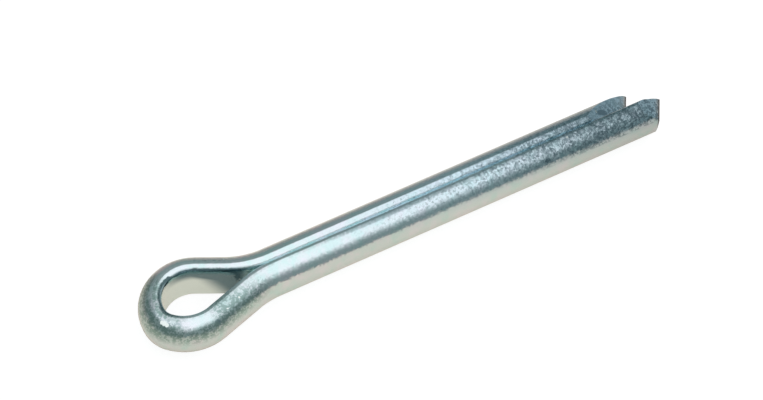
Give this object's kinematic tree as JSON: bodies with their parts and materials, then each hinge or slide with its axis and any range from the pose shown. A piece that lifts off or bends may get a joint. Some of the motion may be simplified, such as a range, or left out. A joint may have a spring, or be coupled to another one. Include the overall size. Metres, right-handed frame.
{
  "type": "cotter pin",
  "caption": "Split pin folded from half-round zinc-plated steel wire, with a teardrop eye and two close legs, one longer than the other.",
  "frame": {"origin": "on the axis of the closed shank, where the straight shank begins just under the eye", "axes": "+X along the shank towards the tips, +Z square to the plane of the eye; the long leg is on the -Y side"},
  "size_m": [0.0679, 0.0116, 0.0056],
  "materials": {
    "zinc_plated_steel": "bright bluish zinc plating, mottled towards the tips"
  },
  "bodies": {
    "root": {"cotter_pin": "zinc_plated_steel"}
  },
  "joints": []
}
